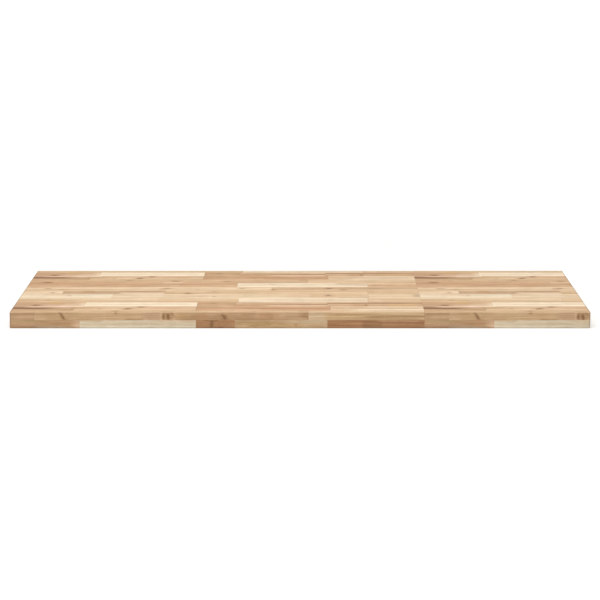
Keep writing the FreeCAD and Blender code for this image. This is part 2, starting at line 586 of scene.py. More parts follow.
# %% The second row
ROW_2 = (
    [("tan", "rosy", 0.0), ("honey", "tan", 0.0), ("russet", "cocoa", 0.0), ("honey", "wheat", 0.0)],
    [
        ("bark", 0, 152, 49, 10, 1, 80, 1.0),
        ("bark", 0, 60, 57, 15, 1, 44, 0.6),
        ("umber", 138, 162, 46, 9, 6, 8, 0.6),
        ("olive", 50, 152, 34, 15, 50, 1, 0.6),
        ("blush", 20, 150, 70, 7, 34, 30, 0.7),
        ("olive", 150, 215, 57, 11, 1, 50, 0.8),
        ("umber", 138, 208, 46, 10, 8, 18, 0.28),
        ("grey", 200, 450, 66, 8, 60, 1, 0.55),
        ("blush", 318, 402, 36, 8, 20, 30, 0.5),
        ("rosy", 294, 449, 59, 14, 14, 50, 0.7),
        ("russet", 304, 424, 58, 9, 18, 18, 0.6),
        ("cream", 96, 182, 512, 6, 26, 8, 0.7),
        ("blush", 630, 768, 512, 6, 40, 8, 0.7),
        ("chestnut", 530, 775, 47, 9, 40, 1, 0.6),
        ("chestnut", 598, 652, 47, 10, 14, 16, 0.5),
        ("umber", 447, 525, 66, 14, 1, 34, 0.5),
        ("biscuit", 447, 630, 28, 8, 10, 40, 0.6),
        ("honey", 774, 835, 45, 20, 1, 30, 0.7),
        ("grey", 778, 992, 47, 7, 12, 10, 0.8),
        ("rosy", 774, 906, 54, 13, 1, 24, 0.5),
        ("cream", 810, 1001, 26, 9, 40, 1, 0.8),
        ("cream", 845, 1001, 68, 8, 30, 1, 0.85),
    ],
    [(281, 43, 11, 11, 0.4, 0.85), (311, 67, 12, 9, 0, 0.9), (213, 46, 6, 6, 0, 0.35)],
)
count_marks("row 2", ROW_2)

# %% The third row
ROW_3 = (
    [("rosy", "cocoa", 0.0), ("cream", "cream", 0.0), ("tan", "russet", 0.0), ("cocoa", "tan", 0.0),
     ("tan", "cocoa", 0.1)],
    [
        ("cream", 20, 174, 80, 6, 90, 1, 0.95),
        ("umber", -1, 62, 100, 11, 1, 12, 0.4),
        ("umber", -1, 52, 79, 5, 1, 18, 0.35),
        ("rosy", 56, 118, 88, 6, 8, 10, 0.7),
        ("barley", 176, 448, 84, 9, 1, 1, 0.6),
        ("ochre", 70, 125, 118, 12, 20, 20, 0.6),
        ("sand", 104, 174, 108, 20, 30, 1, 0.75),
        ("ivory", 152, 174, 96, 24, 22, 1, 0.6),
        ("straw", 138, 174, 116, 14, 26, 1, 0.6),
        ("barley", 264, 348, 123, 6, 16, 16, 0.6),
        ("olive", 468, 543, 119, 11, 14, 1, 0.8),
        ("umber", 474, 543, 119, 9, 8, 1, 0.35),
        ("umber", 552, 644, 113, 6, 10, 20, 0.35),
        ("umber", 447, 456, 102, 28, 1, 6, 0.5),
        ("umber", 580, 768, 102, 7, 60, 1, 0.9),
        ("bark", 640, 768, 101, 5, 70, 1, 0.35),
        ("blush", 595, 768, 85, 8, 40, 1, 1.0),
        ("wheat", 640, 768, 122, 7, 40, 1, 0.6),
        ("umber", 766, 1001, 117, 12, 1, 1, 0.85),
        ("bark", 780, 985, 116, 6, 60, 30, 0.25),
        ("umber", 806, 905, 121, 9, 40, 14, 0.8),
        ("russet", 826, 868, 92, 12, 10, 4, 0.6),
        ("ochre", 900, 990, 92, 13, 20, 10, 0.6),
    ],
    [(54, 90, 14, 9, 0, 1.0), (862, 93, 4, 9, 0, 0.5), (487, 119, 10, 7, 0, 0.4)],
)
count_marks("row 3", ROW_3)

# %% The fourth row
ROW_4 = (
    [("honey", "straw", 0.1), ("honey", "wheat", 0.0), ("cream", "cream", 0.0), ("sand", "honey", 0.0)],
    [
        ("grey", 200, 352, 143, 7, 40, 1, 0.8),
        ("rosy", 0, 62, 140, 16, 1, 30, 0.5),
        ("ochre", 75, 125, 142, 12, 15, 15, 0.4),
        ("ivory", 70, 160, 175, 9, 20, 30, 0.5),
        ("straw", 140, 310, 174, 9, 40, 30, 0.6),
        ("honey", 300, 468, 160, 6, 14, 20, 0.6),
        ("honey", 298, 351, 172, 9, 12, 1, 0.5),
        ("barley", 549, 644, 177, 10, 1, 24, 0.8),
        ("pear", 664, 730, 164, 9, 14, 14, 0.5),
        ("ochre", 510, 549, 160, 14, 15, 1, 0.3),
        ("cream", 590, 720, 155, 8, 30, 40, 0.7),
        ("blush", 868, 912, 146, 14, 1, 15, 0.5),
    ],
    [(76, 160, 8, 6, 0, 0.25), (779, 165, 8, 6, 0, 0.25)],
)
count_marks("row 4", ROW_4)

# %% The fifth row
ROW_5 = (
    [("ivory", "cream", 0.0), ("barley", "barley", 0.0), ("barley", "straw", 0.0),
     ("straw", "straw", 0.0)],
    [
        ("pear", 118, 231, 229, 16, 20, 1, 1.0),
        ("grey", 112, 132, 222, 8, 8, 8, 0.5),
        ("cream", 258, 360, 236, 6, 20, 10, 0.9),
        ("blush", 440, 475, 215, 16, 10, 10, 0.5),
        ("ivory", 556, 612, 220, 20, 1, 18, 0.6),
        ("ivory", 585, 670, 200, 12, 15, 15, 0.6),
        ("blush", 668, 712, 225, 16, 10, 10, 0.6),
        ("honey", 712, 872, 214, 22, 20, 1, 0.5),
        ("biscuit", 718, 866, 234, 11, 16, 18, 0.6),
        ("honey", 750, 818, 195, 9, 14, 16, 0.6),
        ("wheat", 474, 556, 201, 8, 14, 1, 0.7),
        ("wheat", 468, 554, 237, 8, 14, 1, 0.6),
        ("rosy", 748, 796, 218, 14, 15, 15, 0.35),
        ("grey", 788, 873, 197, 5, 15, 1, 0.7),
        ("grey", 976, 1001, 225, 22, 14, 1, 0.8),
    ],
    [(771, 229, 7, 10, 0, 0.75), (485, 212, 6, 5, 0, 0.35)],
)
count_marks("row 5", ROW_5)

# %% The sixth row
ROW_6 = (
    [("wheat", "wheat", 0.0), ("sand", "sand", 0.0), ("honey", "honey", 0.0), ("honey", "honey", 0.0)],
    [
        ("cream", 58, 102, 276, 8, 14, 1, 0.5),
        ("cream", -1, 66, 247, 8, 1, 24, 0.7),
        ("umber", 108, 170, 250, 6, 10, 12, 0.3),
        ("umber", 101, 240, 264, 9, 1, 20, 0.7),
        ("russet", 140, 186, 278, 16, 14, 10, 0.7),
        ("umber", 240, 364, 283, 9, 4, 24, 0.55),
        ("cream", 240, 362, 251, 7, 20, 10, 0.45),
        ("ivory", 103, 232, 243, 4, 10, 10, 0.5),
        ("straw", 376, 472, 268, 10, 16, 20, 0.8),
        ("olive", 525, 592, 276, 6, 20, 20, 0.4),
        ("blush", 436, 505, 248, 8, 15, 25, 0.8),
        ("rosy", 870, 892, 272, 12, 1, 8, 0.5),
    ],
    [
        (418, 257, 10, 7, 0, 0.75),
        (76, 265, 8, 7, 0, 0.55),
        (237, 263, 7, 8, 0, 0.6),
        (483, 283, 8, 6, 0, 0.3),
    ],
)
count_marks("row 6", ROW_6)

# %% The seventh row
ROW_7 = (
    [("wheat", "wheat", 0.0), ("sand", "wheat", 0.0)],
    [
        ("biscuit", 8, 60, 342, 8, 10, 20, 0.7),
        ("honey", 50, 215, 333, 12, 24, 30, 0.4),
        ("straw", 195, 345, 325, 12, 40, 8, 0.6),
        ("rosy", 341, 366, 315, 20, 4, 12, 0.4),
        ("straw", 380, 628, 325, 12, 20, 1, 0.4),
        ("umber", 668, 830, 330, 6, 14, 30, 0.3),
        ("honey", 634, 670, 318, 18, 8, 12, 0.8),
        ("russet", 868, 920, 325, 10, 12, 15, 0.3),
    ],
    [
        (362, 328, 10, 6, 0, 0.7),
        (57, 325, 13, 8, 0, 0.5),
        (95, 312, 8, 5, 0, 0.25),
        (440, 311, 5, 8, 0, 0.25),
        (552, 327, 8, 6, 0, 0.55),
        (632, 307, 7, 12, 0, 0.3),
        (774, 328, 8, 6, 0, 0.95),
        (810, 309, 12, 8, 0, 0.55),
    ],
)
count_marks("row 7", ROW_7)

# %% The eighth row
ROW_8 = (
    [("cocoa", "cocoa", 0.0), ("ivory", "cream", 0.0), ("biscuit", "wheat", 0.1)],
    [
        ("russet", 0, 130, 378, 20, 1, 40, 0.3),
        ("umber", 126, 218, 374, 12, 30, 14, 0.4),
        ("honey", 294, 402, 364, 20, 24, 18, 0.5),
        ("biscuit", 504, 532, 370, 16, 6, 6, 0.6),
        ("cream", 539, 620, 385, 16, 1, 40, 0.8),
        ("grey", 616, 640, 388, 8, 8, 8, 0.5),
        ("olive", 780, 874, 393, 7, 25, 1, 0.75),
        ("cream", 560, 873, 357, 6, 30, 1, 0.8),
        ("umber", 882, 918, 374, 10, 9, 12, 0.5),
        ("blush", 874, 920, 353, 5, 1, 12, 0.9),
    ],
    [],
)
ROWS = [ROW_1, ROW_2, ROW_3, ROW_4, ROW_5, ROW_6, ROW_7, ROW_8]
count_marks("row 8", ROW_8)

# %% [markdown]
# ## The front edge
#
# The front edge is looked at square on, so each of its staves has streaks and knots of its own. They
# are written in the same way, with the height above the underside in place of the distance from the
# front. Above, the staves are those of the first row. Below, only the front row shows. The rows behind
# it are dealt their tones from one short list, which three rows in turn begin at its first, second
# and third stave.

# %% The upper layer on the front edge
FRONT_UPPER = (
    [],
    [
        ("umber", 78, 215, 22, 3.5, 20, 30, 0.5),
        ("straw", 108, 262, 35, 5, 20, 24, 0.4),
        ("umber", -1, 60, 22, 4, 1, 2, 0.6),
        ("chestnut", 2, 58, 36, 3, 8, 14, 0.3),
        ("honey", 59, 74, 30, 10, 1, 8, 0.5),
        ("ochre", 66, 335, 30, 14, 20, 40, 0.25),
        ("honey", 228, 272, 32, 4, 12, 12, 0.5),
        ("umber", 266, 332, 21.5, 2.5, 22, 16, 0.8),
        ("rosy", 306, 366, 30, 12, 34, 5, 0.8),
        ("umber", 364, 402, 29, 11, 6, 12, 0.8),
        ("cocoa", 395, 720, 30, 16, 20, 1, 0.8),
        ("umber", 392, 604, 25, 8, 12, 30, 0.45),
        ("ochre", 394, 442, 30, 6, 10, 14, 0.4),
        ("russet", 444, 478, 29, 9, 8, 8, 0.7),
        ("umber", 502, 530, 27, 7, 9, 6, 0.4),
        ("umber", 540, 622, 22, 3, 10, 10, 0.5),
        ("umber", 552, 598, 36, 4, 10, 10, 0.4),
        ("russet", 596, 640, 30, 10, 10, 10, 0.6),
        ("honey", 404, 470, 37, 3, 14, 14, 0.5),
        ("straw", 640, 704, 32, 4, 18, 14, 0.35),
        ("umber", 698, 721, 31, 8, 12, 1, 0.5),
        ("honey", 668, 719, 22.5, 3, 12, 2, 0.5),
        ("umber", 690, 790, 37, 4, 16, 24, 0.3),
        ("ochre", 745, 1000, 28, 14, 30, 1, 0.6),
        ("umber", 760, 900, 34, 1.8, 30, 60, 0.6),
        ("umber", 820, 1001, 29, 3, 70, 1, 0.7),
        ("honey", 796, 936, 22.5, 2.5, 16, 20, 0.6),
        ("rosy", 930, 1001, 22, 2.5, 20, 10, 0.4),
        ("straw", 900, 996, 36, 3, 30, 8, 0.3),
    ],
    [
        (127, 29, 4, 11, -0.6, 0.75),
        (256, 38, 3.5, 2.5, 0, 0.5),
        (371, 29, 3, 8, 0.1, 0.7),
        (382, 28, 4, 8.5, -0.15, 0.85),
        (392, 35, 3, 5, -0.9, 0.4),
        (517, 28, 6, 8, -0.5, 0.75),
    ],
)
count_marks("the upper layer", FRONT_UPPER)

# %% The lower layer on the front edge
FRONT_LOWER = (
    [("cocoa", "cocoa", 0.0), ("pear", "ivory", 0.0), ("chestnut", "chestnut", 0.0),
     ("honey", "biscuit", 0.0), ("chestnut", "chestnut", 0.0)],
    [
        ("umber", 20, 166, 10, 12, 40, 10, 0.35),
        ("olive", 4, 110, 17, 3, 4, 50, 0.8),
        ("rosy", 8, 74, 8, 4, 8, 24, 0.7),
        ("umber", -1, 160, 2, 4, 1, 30, 0.6),
        ("grey", 48, 158, 3, 3.5, 20, 12, 0.7),
        ("umber", 62, 156, 13, 1.8, 20, 14, 0.8, -0.10),
        ("umber", 84, 160, 7, 1.8, 20, 14, 0.8, -0.10),
        ("russet", 100, 150, 12, 8, 30, 14, 0.6),
        ("blush", 140, 169, 12, 12, 26, 1, 0.6),
        ("cream", 224, 264, 18, 2, 12, 12, 0.7),
        ("straw", 330, 449, 17.5, 2.5, 40, 1, 0.7),
        ("umber", 449, 478, 12, 5, 1, 10, 0.5),
        ("chestnut", 496, 520, 8, 6, 8, 8, 0.6),
        ("umber", 500, 543, 9, 6, 14, 1, 0.55),
        ("umber", 543, 566, 8, 5, 1, 12, 0.4),
        ("umber", 562, 640, 8, 2.4, 26, 16, 0.9, 0.06),
        ("umber", 632, 712, 11, 1.5, 24, 16, 0.9, 0.03),
        ("umber", 696, 765, 6, 1.3, 20, 10, 0.7, -0.10),
        ("ochre", 543, 765, 10, 9, 14, 30, 0.45),
        ("straw", 636, 767, 17, 6, 40, 1, 0.9),
        ("straw", 698, 767, 7, 5, 14, 1, 0.4),
        ("olive", 543, 640, 17, 3, 1, 30, 0.8),
        ("ivory", 694, 766, 17, 3.5, 16, 6, 0.7),
        ("bark", 765, 890, 18, 2.6, 1, 30, 0.25),
        ("bark", 876, 1001, 13, 3, 20, 1, 0.35),
        ("bark", 842, 906, 9, 9, 14, 14, 0.45),
        ("bark", 884, 1001, 4, 4, 24, 1, 0.3),
        ("biscuit", 880, 1000, 18, 2.5, 20, 20, 0.5),
        ("sand", 400, 449, 18, 3, 20, 1, 0.4),
        ("umber", 476, 502, 12, 9, 8, 10, 0.5),
        ("ochre", 167, 236, 18, 3, 1, 24, 0.5),
    ],
    [(487, 10, 6, 11, 0.15, 0.7), (508, 2, 10, 3, 0, 0.4), (690, 9, 4, 3, 0, 0.35)],
)
count_marks("the lower layer", FRONT_LOWER)

# %% The lower rows that don't show
HIDDEN_SHIFTS = 3
HIDDEN_STAVES = [("honey", "tan", 0.0), ("cocoa", "rosy", 0.1), ("straw", "honey", 0.0),
                 ("tan", "cocoa", 0.2), ("ivory", "straw", 0.0)]
print("hidden rows are dealt from", len(HIDDEN_STAVES), "looks")

# %% [markdown]
# ## The wood materials
#
# First one group mixes the plain wood from the rings, the fibres and the two tones of a stave. Each
# row of the repeat then gets a material of its own, which adds the marks of that row. The front edge
# has two more, one for each layer, because a renderer can hold only so many marks in one material.
# A streak or the halo of a knot is laid over the plain wood as stain is, by mixing towards its tone
# before the grain is multiplied in, so the grain still shows through. The core of a knot comes last.

# %% Plain wood
BORDER_WANDER = 0.8
BORDER_SOFTNESS = 0.14
LATEWOOD_SHADE = (0.66, 0.55, 0.45, 1)
PORE_SHADE = (0.55, 0.44, 0.36, 1)
PORE_SHARE = 0.4
ROUGHNESS = 0.58
FIBRE_ROUGHER = 0.18
PORE_ROUGHER = 0.12
RING_RELIEF = 0.5


def make_plain_wood():
    """The colour, roughness and relief of sanded wood without marks."""
    tree, given, result = new_group(
        "plain wood",
        [("Stave", "vector"), ("Seed", "number"), ("Bend", "number"), ("Across", "number"),
         ("Front tone", "colour"), ("Back tone", "colour"), ("Latewood", "number")],
        [("Colour", "colour"), ("Grain", "colour"), ("Roughness", "number"), ("Height", "number")],
    )
    stave, seed = given["Stave"], given["Seed"]
    rings = use(tree, rings_group, stave=stave, seed=seed, bend=given["Bend"])
    fibres = use(tree, fibres_group, stave=stave, seed=seed, bend=given["Bend"])

    # The border between the two tones wanders along the stave.
    border = vectors(tree, "MULTIPLY", stave, (3.0, 18.0, 18.0))
    wander = noise(tree, border, sums(tree, "MULTIPLY", seed, 11.0), 3.0)
    across = sums(tree, "ADD", given["Across"], swing(tree, wander, BORDER_WANDER))
    turned = ramp(tree, across, -BORDER_SOFTNESS, BORDER_SOFTNESS)
    put(tree, result["Colour"], blend(tree, turned, given["Front tone"], given["Back tone"]))

    # The grain multiplies the tone. Each pair is its dark and its light side, about as far from white.
    grain = (1.0, 1.0, 1.0, 1.0)
    for value, low, high, dark, light in (
        (rings["Tone"], 0.28, 0.72, (0.86, 0.82, 0.77, 1), (1.11, 1.14, 1.17, 1)),
        (fibres["Broad"], 0.32, 0.68, (0.89, 0.855, 0.81, 1), (1.09, 1.12, 1.15, 1)),
        (fibres["Middling"], 0.30, 0.70, (0.91, 0.885, 0.855, 1), (1.08, 1.10, 1.12, 1)),
        (fibres["Fine"], 0.25, 0.75, (0.92, 0.90, 0.88, 1), (1.07, 1.08, 1.10, 1)),
        (fibres["Ripple"], 0.30, 0.70, (0.96, 0.96, 0.95, 1), (1.04, 1.04, 1.05, 1)),
    ):
        shading = blend(tree, ramp(tree, value, low, high), dark, light)
        grain = blend(tree, 1.0, grain, shading, "MULTIPLY")
    late = sums(tree, "MULTIPLY", rings["Latewood"], given["Latewood"])
    grain = blend(tree, late, grain, LATEWOOD_SHADE, "MULTIPLY")
    pores = sums(tree, "MULTIPLY", fibres["Pores"], PORE_SHARE)
    grain = blend(tree, pores, grain, PORE_SHADE, "MULTIPLY")
    put(tree, result["Grain"], grain)

    rough = sums(tree, "MULTIPLY_ADD", fibres["Middling"], FIBRE_ROUGHER, ROUGHNESS)
    put(tree, result["Roughness"], sums(tree, "MULTIPLY_ADD", fibres["Pores"], PORE_ROUGHER, rough))
    relief = sums(tree, "MULTIPLY_ADD", rings["Latewood"], RING_RELIEF, fibres["Fine"])
    put(tree, result["Height"], sums(tree, "SUBTRACT", relief, fibres["Pores"]))
    return tree


plain_wood_group = make_plain_wood()
print("plain wood from", len(plain_wood_group.nodes), "nodes")


# %% The marks of a row
NO_MARKS = ([], [], [])


def lay_streaks(tree, place, streaks, colour):
    """The colour of the wood with each streak laid over it, one after another."""
    for paint, start, end, across, half_width, left, right, strength, *slope in streaks:
        mask = use(tree, streak_group, place=place, middle=((start + end) / 2 * MM, across * MM, 0.0),
                   half_length=(end - start) / 2 * MM, half_width=half_width * MM,
                   left_taper=left * MM, right_taper=right * MM, strength=strength,
                   slope=slope[0] if slope else 0.0)["Mask"]
        colour = blend(tree, mask, colour, TONES[paint])
    return colour


def lay_knots(tree, place, ragged, knots):
    """The halo, the core and the bend of the grain for each knot."""
    return [
        use(tree, knot_group, place=place, ragged=ragged, middle=(x * MM, across * MM, 0.0),
            half_length=half_length * MM, half_width=half_width * MM, lean=lean, strength=strength)
        for x, across, half_length, half_width, lean, strength in knots
    ]


print("marks are laid from the first of a list to the last")


# %% The finish of the wood
SHINE = 0.12
BUMP_STRENGTH = 0.3
BUMP_DISTANCE = 0.1 * MM


def finish_wood(tree, colour, rough, height):
    """Join the colour, the roughness and the relief to the shader."""
    shader = tree.nodes["Principled BSDF"]
    put(tree, shader.inputs["Base Color"], colour)
    put(tree, shader.inputs["Roughness"], rough)
    shader.inputs["Specular IOR Level"].default_value = SHINE
    bump = tree.nodes.new("ShaderNodeBump")
    bump.inputs["Strength"].default_value = BUMP_STRENGTH
    bump.inputs["Distance"].default_value = BUMP_DISTANCE
    put(tree, bump.inputs["Height"], height)
    put(tree, shader.inputs["Normal"], bump.outputs["Normal"])


print("relief of", round(BUMP_DISTANCE / MM, 2), "mm")


# %% A whole wood material
FACE_LATEWOOD = 0.22
SWAY_TOP = 10 * MM
SWAY_FRONT = 4 * MM
FRONT_DEPTH_SCALE = 3.0
RAGGED = 1.2
HALO_SHARE = 0.6
CORE_SHARE = 0.85
# Edge darkening that is partly wear and partly painted shade.
WORN_AND_SHADED_TONE = (0.60, 0.59, 0.59, 1)
WORN_AND_SHADED_SHARE = 0.8
WORN_SMOOTHER = 0.1
# How strongly the painted grey shade along the back is laid on.
BACK_SHADE_SHARE = 0.36
# How strongly the painted highlight on the front edge is laid on.
HIGHLIGHT_SHARE = 0.5


def make_wood(name, marks=NO_MARKS, on_front=False, latewood=FACE_LATEWOOD, shade=None):
    """Sanded wood with the marks of a row, on the top or on the front edge."""
    material = bpy.data.materials.new(name)
    material.use_nodes = True
    tree = material.node_tree
    coordinates = tree.nodes.new("ShaderNodeTexCoord")
    place = vectors(tree, "SUBTRACT", coordinates.outputs["Object"], tuple(cad_low))
    x, y, z = apart(tree, place)

    # Marks aren't straight: the place wanders a few millimetres from side to side.
    _, streaks, knots = marks
    sway = noise(tree, vectors(tree, "MULTIPLY", place, (7.0, 24.0, 24.0)), 3.0, 3.0)
    if on_front:
        swayed = sums(tree, "ADD", z, swing(tree, sway, SWAY_FRONT))
        depth = sums(tree, "MULTIPLY", y, FRONT_DEPTH_SCALE)
    else:
        swayed = sums(tree, "ADD", y, swing(tree, sway, SWAY_TOP))
        depth = sums(tree, "SUBTRACT", board_size.z, z)
    spot = together(tree, x, swayed, depth)
    ripple = noise(tree, vectors(tree, "MULTIPLY", place, (110.0, 200.0, 200.0)), 5.0, 3.0, 0.7)
    laid_knots = lay_knots(tree, spot, swing(tree, ripple, RAGGED), knots)
    bend = 0.0
    for knot in laid_knots:
        bend = sums(tree, "ADD", knot["Bend"], bend)

    wood = use(tree, plain_wood_group, stave=attribute(tree, "stave", "Vector"),
               seed=attribute(tree, "seed", "Fac"), bend=bend, across=attribute(tree, "across", "Fac"),
               front_tone=attribute(tree, "front_tone", "Color"),
               back_tone=attribute(tree, "back_tone", "Color"), latewood=latewood)
    colour = lay_streaks(tree, spot, streaks, wood["Colour"])
    for knot in laid_knots:
        colour = blend(tree, sums(tree, "MULTIPLY", knot["Halo"], HALO_SHARE), colour, KNOT_HALO)
    colour = blend(tree, 1.0, colour, wood["Grain"], "MULTIPLY")
    for knot in laid_knots:
        colour = blend(tree, sums(tree, "MULTIPLY", knot["Core"], CORE_SHARE), colour, KNOT_CORE)
    if shade:
        colour = blend(tree, 1.0, colour, shade, "MULTIPLY")

    edges = use(tree, edges_group, place=place)
    # Darken the edges, partly as wear and partly as painted shade.
    worn_and_shaded = sums(tree, "MULTIPLY", edges["Mask"], WORN_AND_SHADED_SHARE)
    colour = blend(tree, worn_and_shaded, colour, WORN_AND_SHADED_TONE, "MULTIPLY")
    # A painted grey shade along the back of the top.
    colour = blend(tree, sums(tree, "MULTIPLY", edges["Painted back shade"], BACK_SHADE_SHARE), colour, BACK_SHADE_TONE)
    # On the front edge, a painted highlight just under the upper arris.
    if on_front:
        colour = blend(tree, sums(tree, "MULTIPLY", edges["Painted highlight"], HIGHLIGHT_SHARE), colour, TONES["straw"])
    rough = sums(tree, "MULTIPLY_ADD", edges["Mask"], -WORN_SMOOTHER, wood["Roughness"])
    finish_wood(tree, colour, rough, wood["Height"])
    return material


print("a wood material lays its halos at", HALO_SHARE, "and its cores at", CORE_SHARE)


# %% The woods of this board
END_LATEWOOD = 0.6
END_SHADE = (0.70, 0.61, 0.52, 1)
row_woods = [make_wood(f"wood of row {number}", row) for number, row in enumerate(ROWS, start=1)]
front_upper_wood = make_wood("wood of the front edge above", FRONT_UPPER, on_front=True)
front_lower_wood = make_wood("wood of the front edge below", FRONT_LOWER, on_front=True)
plain_wood = make_wood("plain wood")
end_grain = make_wood("end grain", latewood=END_LATEWOOD, shade=END_SHADE)
all_woods = (*row_woods, front_upper_wood, front_lower_wood, plain_wood, end_grain)
print("wood materials:", len(all_woods), "with", [len(wood.node_tree.nodes) for wood in all_woods], "nodes")


# %% [markdown]
# ## The staves
#
# A row is modelled as the joiner lays it: one block for each stave, side by side in a single mesh.
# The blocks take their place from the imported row. Then the long outer edges of the board are rounded
# with a bevel, as the sander leaves them, and the edges along the glue lines get the faintest
# arris, which is what lets a glue line show at all on a flush board. Rows with staves of the same
# lengths and width are alike, so the first is modelled and the others are copies of it, each moved
# to its place across the board.

# %% Read the staves of a packed row
EDGE_RADIUS = 1.5 * MM
ARRIS = 0.12 * MM
NEAR = 0.05 * MM
WELD = 0.001 * MM


def start_clean():
    """Leave edit mode and deselect everything, because an operator acts on all that is selected."""
    if bpy.context.object and bpy.context.object.mode != "OBJECT":
        bpy.ops.object.mode_set(mode="OBJECT")
    bpy.ops.object.select_all(action="DESELECT")


def stave_boxes(node):
    """The lowest and highest corner of each stave in a packed row, from left to right."""
    start_clean()
    copy = nodes[node].copy()
    copy.data = nodes[node].data.copy()
    copy.parent = None
    bpy.context.scene.collection.objects.link(copy)
    copy.select_set(True)
    bpy.context.view_layer.objects.active = copy
    bpy.ops.object.mode_set(mode="EDIT")
    bpy.ops.mesh.select_all(action="SELECT")
    bpy.ops.mesh.remove_doubles(threshold=WELD)
    bpy.ops.mesh.separate(type="LOOSE")
    bpy.ops.object.mode_set(mode="OBJECT")
    boxes = []
    for piece in list(bpy.context.selected_objects):
        corners = [vertex.co for vertex in piece.data.vertices]
        low = Vector([min(corner[axis] for corner in corners) for axis in range(3)])
        high = Vector([max(corner[axis] for corner in corners) for axis in range(3)])
        boxes.append((low, high))
        bpy.data.objects.remove(piece)
    return sorted(boxes, key=lambda box: box[0].x)


print("the first row has", len(stave_boxes(upper_rows[0])), "staves")


# %% Round the edges
BEVEL_STEPS = 4


def on_outside(point, axis):
    """Whether a point lies on the outside of the whole board along one axis."""
    return min(abs(point[axis] - cad_low[axis]), abs(point[axis] - cad_high[axis])) < NEAR


def select_edges(piece, wanted):
    """Select, in object mode, only the edges whose middle passes the test."""
    mesh = piece.data
    for kind in (mesh.vertices, mesh.edges, mesh.polygons):
        kind.foreach_set("select", [False] * len(kind))
    for edge in mesh.edges:
        first, second = (mesh.vertices[index].co for index in edge.vertices)
        edge.select = wanted((first + second) / 2)


def bevel_edges(piece, wanted, width, segments):
    """Bevel the edges that pass the test."""
    select_edges(piece, wanted)
    bpy.ops.object.mode_set(mode="EDIT")
    bpy.ops.mesh.bevel(offset=width, segments=segments, profile=0.5, affect="EDGES")
    bpy.ops.object.mode_set(mode="OBJECT")


print("outer edges rounded by", round(EDGE_RADIUS / MM, 2), "mm in", BEVEL_STEPS, "steps")


# %% Model a row, or copy one that is like it
def model_row(boxes):
    """All the staves of one row as blocks in one mesh, with rounded outer edges."""
    start_clean()
    for number, (low, high) in enumerate(boxes):
        bpy.ops.mesh.primitive_cube_add(size=1, location=(low + high) / 2, scale=high - low)
        if number == 0:
            piece = bpy.context.object
            bpy.ops.object.transform_apply(location=True, rotation=True, scale=True)
            bpy.ops.object.mode_set(mode="EDIT")
            bpy.context.tool_settings.mesh_select_mode = (False, True, False)
    bpy.ops.object.mode_set(mode="OBJECT")

    def sides_met(middle):
        return sum(on_outside(middle, axis) for axis in range(3))

    bevel_edges(piece, lambda middle: sides_met(middle) >= 2, EDGE_RADIUS, BEVEL_STEPS)
    bevel_edges(piece, lambda middle: sides_met(middle) == 0, ARRIS, 1)
    for point in piece.data.vertices:
        point.co = [min(max(point.co[axis], cad_low[axis]), cad_high[axis]) for axis in range(3)]
    return piece


def row_kind(boxes):
    """The sizes that two rows share where one can be a copy of the other."""
    low, high = boxes[0]
    ends = [corner.x for box in boxes for corner in box]
    sizes = [round(size / MM, 2) for size in (*ends, high.y - low.y, low.z, high.z)]
    return (*sizes, on_outside(low, 1), on_outside(high, 1))


first_rows = {}


def make_row(name, boxes):
    """The blocks of one row: modelled the first time, and copied and moved after that."""
    kind, front = row_kind(boxes), boxes[0][0].y
    if kind in first_rows:
        mesh, first_front = first_rows[kind]
        piece = bpy.data.objects.new(name, mesh.copy())
        piece.data.transform(Matrix.Translation((0.0, front - first_front, 0.0)))
        bpy.context.scene.collection.objects.link(piece)
    else:
        piece = model_row(boxes)
        first_rows[kind] = (piece.data.copy(), front)
    piece.name = piece.data.name = name
    return piece


print("glue lines get an arris of", round(ARRIS / MM, 2), "mm")


# %% [markdown]
# ## What each stave carries
#
# The material needs to know where it is within a stave and what wood that stave is. A material for
# each stave would do, but values on the mesh let a whole row share one. Each point carries its place
# from the left end and the middle line of its own stave, how far across it lies, a number that picks
# the plank it was cut from, and its two tones. The numbers step by the golden section, which keeps
# neighbours far apart, and a stave that comes back after a repeat is given the same one, so it looks
# the same. A row that was ripped narrower still counts its width as a whole stave, the front row from
# its back side. Each face then gets its wood: end grain on the short ends, the wood of the front edge
# on the front of the first upper row, and the wood of the row on the rest.

# %% Write the values on a row
GOLDEN = 0.618034
PLANKS_APART = 7
END_SLANT = 0.3
FRONT_SLANT = 0.1
SMOOTH_BELOW = math.radians(30)
whole_row = [vertex.co.y for vertex in nodes[upper_rows[1]].data.vertices]
STAVE_WIDTH = max(whole_row) - min(whole_row)


